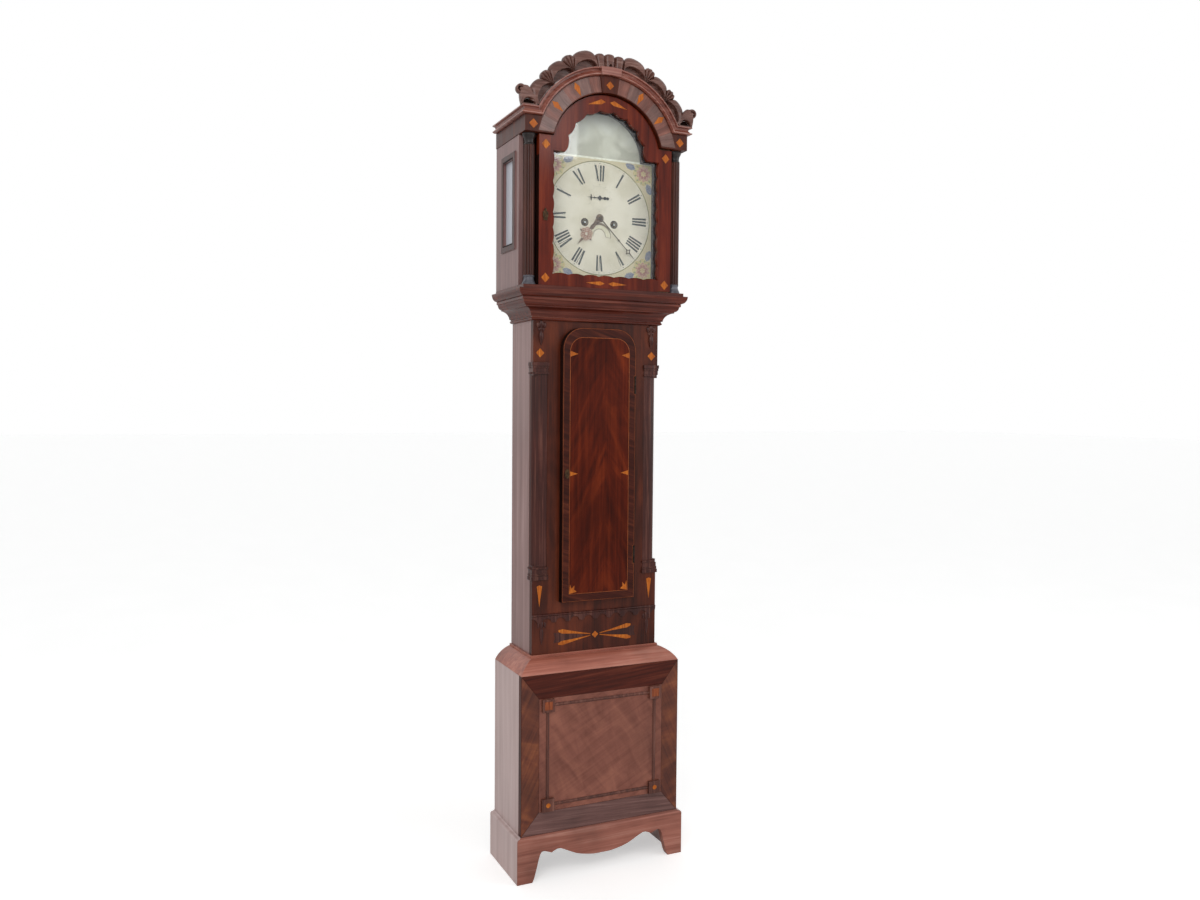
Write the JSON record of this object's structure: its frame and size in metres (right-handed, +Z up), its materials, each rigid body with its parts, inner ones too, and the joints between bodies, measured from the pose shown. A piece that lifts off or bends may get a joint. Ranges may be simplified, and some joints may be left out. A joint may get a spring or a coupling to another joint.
{
  "type": "longcase clock",
  "caption": "Longcase clock with an arched hood, carved cresting, hinged doors, painted dial, weight-driven movement and seconds pendulum.",
  "frame": {"origin": "on the floor, under the middle of the clock's overall width and depth", "axes": "+Z up, the dial faces -Y, +X to the right of someone facing the dial"},
  "size_m": [0.5218, 0.2322, 2.1617],
  "materials": {
    "mahogany": "polished",
    "flame_mahogany": "polished, figured veneer",
    "side_mahogany": "polished, faded",
    "dark_mahogany": "polished",
    "ebonised": "mahogany shaft with ebonised base and capital",
    "pine": "plain",
    "brass": "satin",
    "steel": "satin",
    "lead": "dull",
    "dial": "painted, gloss",
    "glazing": "clear",
    "gut": "twisted gut"
  },
  "bodies": {
    "case": {"backboard": "pine", "plinth_front": "mahogany", "plinth_left": "side_mahogany", "plinth_right": "side_mahogany", "base_front": "flame_mahogany", "base_left": "side_mahogany", "base_right": "side_mahogany", "base_panel_moulding": "dark_mahogany", "caddy_moulding": "mahogany", "trunk_front": "mahogany", "trunk_left": "side_mahogany", "trunk_right": "side_mahogany", "pilaster_left": "dark_mahogany", "pilaster_right": "dark_mahogany", "trunk_bead": "dark_mahogany", "throat_moulding": "mahogany", "seat_board": "pine", "trunk_hinge_upper": "brass", "trunk_hinge_lower": "brass", "back_plate": "brass", "front_plate": "brass", "dial": "dial", "bell": "steel", "going_line": "gut", "strike_line": "gut"},
    "trunk_door": {"trunk_door": "flame_mahogany", "trunk_door_leaf_upper": "brass", "trunk_door_leaf_lower": "brass", "trunk_door_lock": "brass"},
    "hood": {"hood_base": "mahogany", "hood_left_side": "side_mahogany", "hood_right_side": "side_mahogany", "hood_left_glass": "glazing", "hood_right_glass": "glazing", "hood_mask": "dark_mahogany", "hood_frieze": "mahogany", "hood_cornice": "mahogany", "hood_roof": "pine", "cresting": "dark_mahogany", "column_left": "ebonised", "column_right": "ebonised"},
    "hood_door": {"hood_door": "mahogany", "hood_door_glass": "glazing", "hood_pivot_lower": "brass", "hood_pivot_upper": "brass", "hood_door_lock": "brass"},
    "third_arbor": {"third_wheel": "brass"},
    "centre_arbor": {"centre_wheel": "brass", "minute_hand": "brass"},
    "hour_pipe": {"hour_hand": "brass"},
    "escape_arbor": {"escape_wheel": "brass", "seconds_hand": "steel"},
    "pendulum": {"pendulum_rod": "steel", "pendulum_bob": "brass"},
    "anchor": {"anchor": "steel"},
    "going_weight": {"going_weight": "lead"},
    "going_barrel": {"going_barrel": "brass"},
    "strike_weight": {"strike_weight": "lead"},
    "strike_barrel": {"strike_barrel": "brass"},
    "hammer": {"hammer": "steel"}
  },
  "joints": [
    {"name": "trunk_door_hinge", "type": "hinge", "parent": "case", "child": "trunk_door", "pos_m": [0.1065, -0.05585, 1.07], "axis": [0, 0, 1], "range_deg": [0, 110]},
    {"name": "hood_slide", "type": "slide", "parent": "case", "child": "hood", "axis": [0, -1, 0], "range_m": [0, 0.2]},
    {"name": "hood_door_pivot", "type": "hinge", "parent": "hood", "child": "hood_door", "pos_m": [0.184, -0.09045, 1.75], "axis": [0, 0, 1], "range_deg": [0, 110]},
    {"name": "third_arbor_turn", "type": "hinge", "parent": "case", "child": "third_arbor", "pos_m": [0.02, 0.01, 1.775], "axis": [0, 1, 0], "continuous": true},
    {"name": "minute_hand_turn", "type": "hinge", "parent": "case", "child": "centre_arbor", "pos_m": [0, 0.01, 1.747], "axis": [0, 1, 0], "continuous": true},
    {"name": "hour_hand_turn", "type": "hinge", "parent": "case", "child": "hour_pipe", "pos_m": [0, -0.04, 1.747], "axis": [0, 1, 0], "continuous": true},
    {"name": "seconds_hand_turn", "type": "hinge", "parent": "case", "child": "escape_arbor", "pos_m": [0, 0.01, 1.8005], "axis": [0, 1, 0], "continuous": true},
    {"name": "pendulum_swing", "type": "hinge", "parent": "case", "child": "pendulum", "pos_m": [0, 0.07615, 1.8265], "axis": [0, 1, 0], "range_deg": [-2.5, 2.5]},
    {"name": "anchor_rock", "type": "hinge", "parent": "case", "child": "anchor", "pos_m": [0, 0.01, 1.8265], "axis": [0, 1, 0], "range_deg": [-2.5, 2.5]},
    {"name": "going_weight_drop", "type": "slide", "parent": "case", "child": "going_weight", "axis": [0, 0, 1], "range_m": [-0.84, 0.38], "deforming": ["going_line"]},
    {"name": "going_barrel_turn", "type": "hinge", "parent": "case", "child": "going_barrel", "pos_m": [0.043, 0.01, 1.7335], "axis": [0, 1, 0], "range_deg": [-4620, 2100]},
    {"name": "strike_weight_drop", "type": "slide", "parent": "case", "child": "strike_weight", "axis": [0, 0, 1], "range_m": [-0.84, 0.38], "deforming": ["strike_line"]},
    {"name": "strike_barrel_turn", "type": "hinge", "parent": "case", "child": "strike_barrel", "pos_m": [-0.043, 0.01, 1.7335], "axis": [0, 1, 0], "range_deg": [-4620, 2100]},
    {"name": "hammer_lift", "type": "hinge", "parent": "case", "child": "hammer", "pos_m": [0.046, 0.01, 1.817], "axis": [0, 1, 0], "range_deg": [0, 12]}
  ],
  "couplings": [
    {"joint": "minute_hand_turn", "follows": "third_arbor_turn", "ratio": -0.125},
    {"joint": "hour_hand_turn", "follows": "third_arbor_turn", "ratio": -0.010417},
    {"joint": "seconds_hand_turn", "follows": "third_arbor_turn", "ratio": -7.5},
    {"joint": "anchor_rock", "follows": "pendulum_swing", "ratio": 1},
    {"joint": "going_barrel_turn", "follows": "going_weight_drop", "rad_per_m": 95.238},
    {"joint": "strike_barrel_turn", "follows": "strike_weight_drop", "rad_per_m": 95.238}
  ]
}
